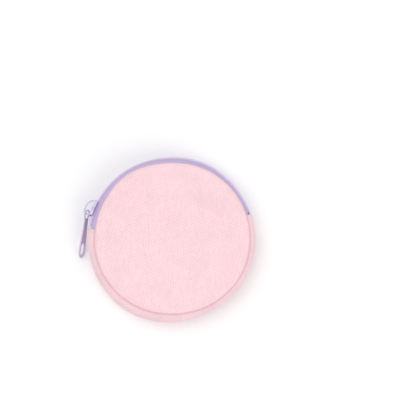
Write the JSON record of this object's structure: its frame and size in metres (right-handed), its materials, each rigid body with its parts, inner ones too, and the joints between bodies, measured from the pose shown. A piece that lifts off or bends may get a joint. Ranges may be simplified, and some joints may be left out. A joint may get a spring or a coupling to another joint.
{
  "type": "round denim zip pouch",
  "caption": "Round flat denim pouch: domed panels joined by a bulging side, with a coil zip over its upper half and a slotted pull.",
  "frame": {"origin": "centre of the resting face on the back panel", "axes": "+Z out through the front panel, +Y from the centre to the middle of the zip"},
  "size_m": [0.1072, 0.0984, 0.0236],
  "materials": {
    "denim": "pale pink denim twill, matt",
    "zip_tape": "lavender woven tape",
    "zip_coil": "lavender nylon",
    "zip_metal": "lavender enamel, glossy"
  },
  "bodies": {
    "pouch": {"front_panel": "denim", "back_panel": "denim", "side_band": "denim", "zip_tape_front": "zip_tape", "zip_tape_back": "zip_tape", "zip_coil_front": "zip_coil", "zip_coil_back": "zip_coil", "zip_slider": "zip_metal"},
    "pull": {"zip_pull": "zip_metal"}
  },
  "joints": [
    {"name": "pull_swing", "type": "hinge", "parent": "pouch", "child": "pull", "pos_m": [-0.04908, 0.0218, 0.011], "axis": [0, 0, -1], "range_deg": [0, 130]}
  ]
}
